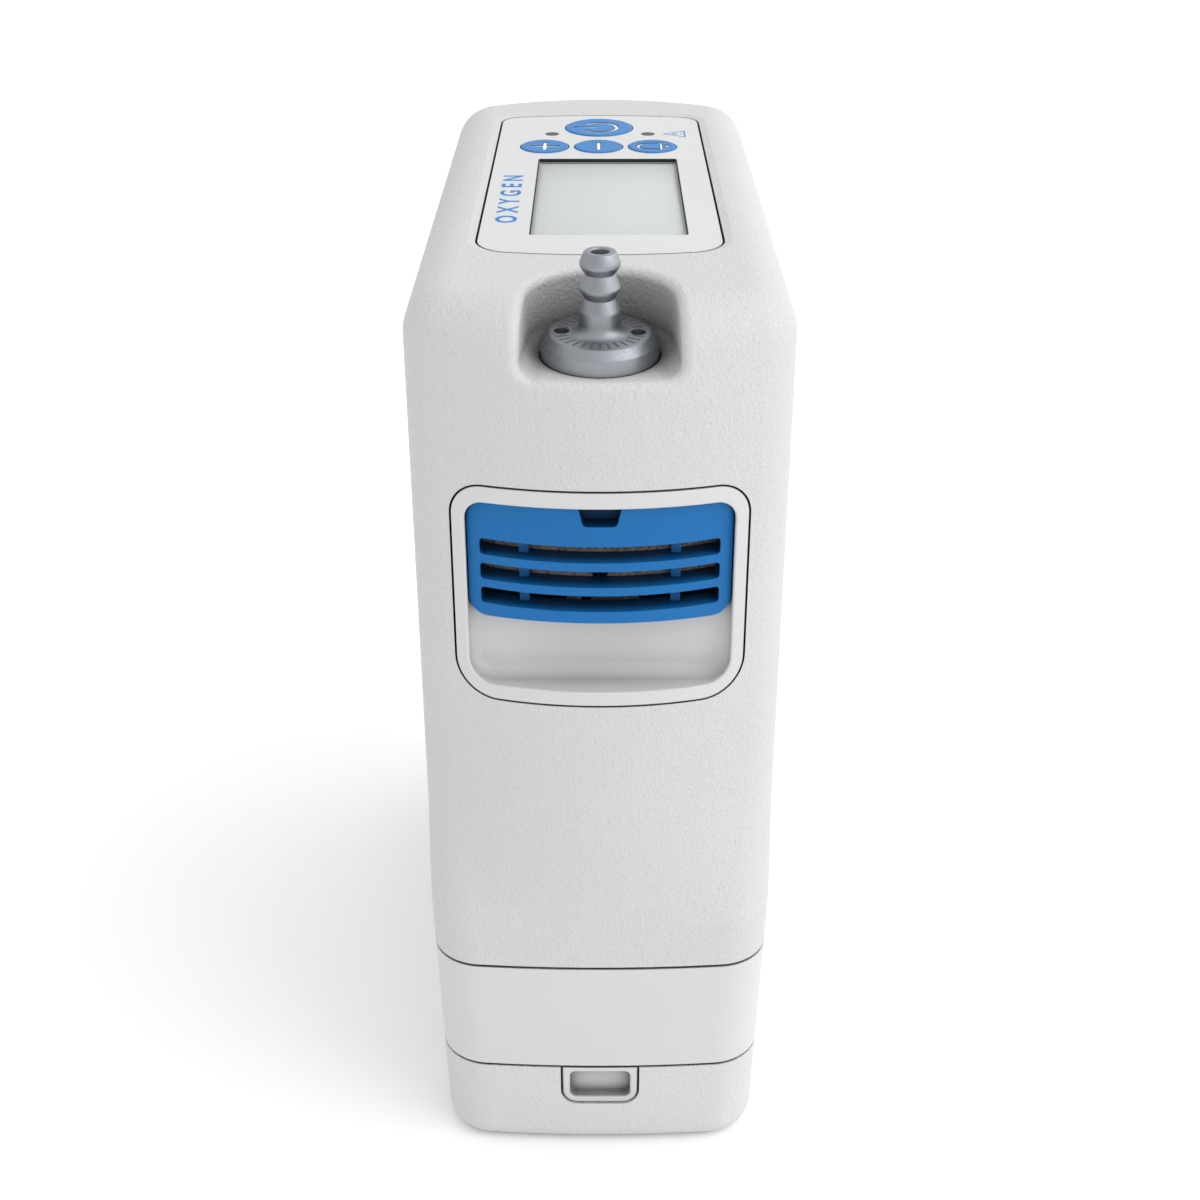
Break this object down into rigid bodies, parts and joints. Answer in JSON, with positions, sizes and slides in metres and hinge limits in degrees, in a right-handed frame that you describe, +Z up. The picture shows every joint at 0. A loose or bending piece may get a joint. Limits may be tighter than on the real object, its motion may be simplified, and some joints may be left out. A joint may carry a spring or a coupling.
{
  "type": "portable oxygen concentrator",
  "caption": "Slim upright portable oxygen concentrator with a sloping key panel, barbed metal outlet, pull-out intake grille, slide-out sieve cartridge and slide-on battery.",
  "frame": {"origin": "centre of the footprint, on the surface it stands on", "axes": "+Z up, -Y towards the outlet and air intake, X across the slim width"},
  "size_m": [0.0668, 0.1494, 0.1895],
  "materials": {
    "grained_white": "fine leather grain",
    "smooth_white": "satin, fine",
    "panel_white": "satin",
    "grille_blue": "satin",
    "key_blue": "satin",
    "nozzle_metal": "bead-blasted",
    "clear_pane": "clear",
    "lcd_grey": "display",
    "light_grey": "translucent",
    "filter_foam": "open foam",
    "board_green": "solder mask",
    "black_plastic": "moulded",
    "grey_plastic": "moulded",
    "black_rubber": "moulded",
    "silicone": "translucent",
    "cast_aluminium": "cast",
    "steel": "ground",
    "copper": "drawn",
    "gold": "plated",
    "cell_wrap": "shrink wrap",
    "sieve_beads": "beads"
  },
  "bodies": {
    "housing": {"main_housing": "grained_white", "control_panel": "panel_white", "lcd_window": "clear_pane", "lcd_module": "lcd_grey", "display_board": "board_green", "buzzer": "black_plastic", "switch_domes": "silicone", "status_lights": "light_grey", "intake_bezel": "smooth_white", "exhaust_grille": "smooth_white", "outlet_nozzle": "nozzle_metal", "nozzle_oring": "black_rubber", "output_filter": "grey_plastic", "power_jack": "black_plastic", "chassis": "grey_plastic", "chassis_screws": "steel", "port_block": "smooth_white", "contact_pins": "gold", "crankcase": "cast_aluminium", "crank_bearings": "steel", "cylinder_heads": "cast_aluminium", "motor_can": "black_plastic", "motor_stator": "copper", "compressor_bracket": "steel", "rubber_mounts": "black_rubber", "fan_frame": "black_plastic", "cooling_coil": "copper", "valve_manifold": "grey_plastic", "solenoid_valves": "steel", "product_tank": "cast_aluminium", "muffler": "black_plastic", "conserver_valve": "grey_plastic", "oxygen_sensor": "grey_plastic", "main_board": "board_green", "board_components": "black_plastic", "air_tubes": "silicone"},
    "power_key": {"power_button": "key_blue"},
    "plus_key": {"plus_button": "key_blue"},
    "minus_key": {"minus_button": "key_blue"},
    "alert_key": {"alert_button": "key_blue"},
    "filter": {"intake_grille": "grille_blue", "filter_media": "filter_foam"},
    "fan": {"fan_rotor": "black_plastic"},
    "crank": {"crankshaft": "steel", "motor_rotor": "steel"},
    "left_piston": {"piston_left": "cast_aluminium"},
    "right_piston": {"piston_right": "cast_aluminium"},
    "cartridge": {"cartridge_shell": "smooth_white", "sieve_columns": "cast_aluminium", "sieve_media": "sieve_beads", "column_caps": "grey_plastic", "port_orings": "black_rubber"},
    "battery": {"battery_case": "grained_white", "battery_lid": "grey_plastic", "battery_contacts": "gold", "battery_cells": "cell_wrap", "battery_board": "board_green", "latch_spring": "steel"},
    "latch": {"latch_button": "smooth_white"}
  },
  "joints": [
    {"name": "power_press", "type": "slide", "parent": "housing", "child": "power_key", "axis": [0, 0.1219, -0.9925], "range_m": [0, 0.0007], "stiffness_N_per_m": 600, "springref_m": -0.001},
    {"name": "plus_press", "type": "slide", "parent": "housing", "child": "plus_key", "axis": [0, 0.1219, -0.9925], "range_m": [0, 0.0007], "stiffness_N_per_m": 600, "springref_m": -0.001},
    {"name": "minus_press", "type": "slide", "parent": "housing", "child": "minus_key", "axis": [0, 0.1219, -0.9925], "range_m": [0, 0.0007], "stiffness_N_per_m": 600, "springref_m": -0.001},
    {"name": "alert_press", "type": "slide", "parent": "housing", "child": "alert_key", "axis": [0, 0.1219, -0.9925], "range_m": [0, 0.0007], "stiffness_N_per_m": 600, "springref_m": -0.001},
    {"name": "filter_pull", "type": "slide", "parent": "housing", "child": "filter", "axis": [0, -1, 0], "range_m": [0, 0.02]},
    {"name": "fan_spin", "type": "hinge", "parent": "housing", "child": "fan", "pos_m": [0, -0.055, 0.126], "axis": [0, 1, 0], "continuous": true},
    {"name": "crank_spin", "type": "hinge", "parent": "housing", "child": "crank", "pos_m": [0, -0.026, 0.086], "axis": [0, 1, 0], "continuous": true},
    {"name": "left_piston_slide", "type": "slide", "parent": "housing", "child": "left_piston", "axis": [1, 0, 0], "range_m": [-0.0025, 0.0025]},
    {"name": "right_piston_slide", "type": "slide", "parent": "housing", "child": "right_piston", "axis": [1, 0, 0], "range_m": [-0.0025, 0.0025]},
    {"name": "cartridge_slide", "type": "slide", "parent": "housing", "child": "cartridge", "axis": [0, -1, 0], "range_m": [0, 0.12]},
    {"name": "battery_slide", "type": "slide", "parent": "cartridge", "child": "battery", "axis": [0, -1, 0], "range_m": [0, 0.15]},
    {"name": "latch_press", "type": "slide", "parent": "battery", "child": "latch", "axis": [0, 1, 0], "range_m": [0, 0.002], "stiffness_N_per_m": 500, "springref_m": -0.001}
  ]
}
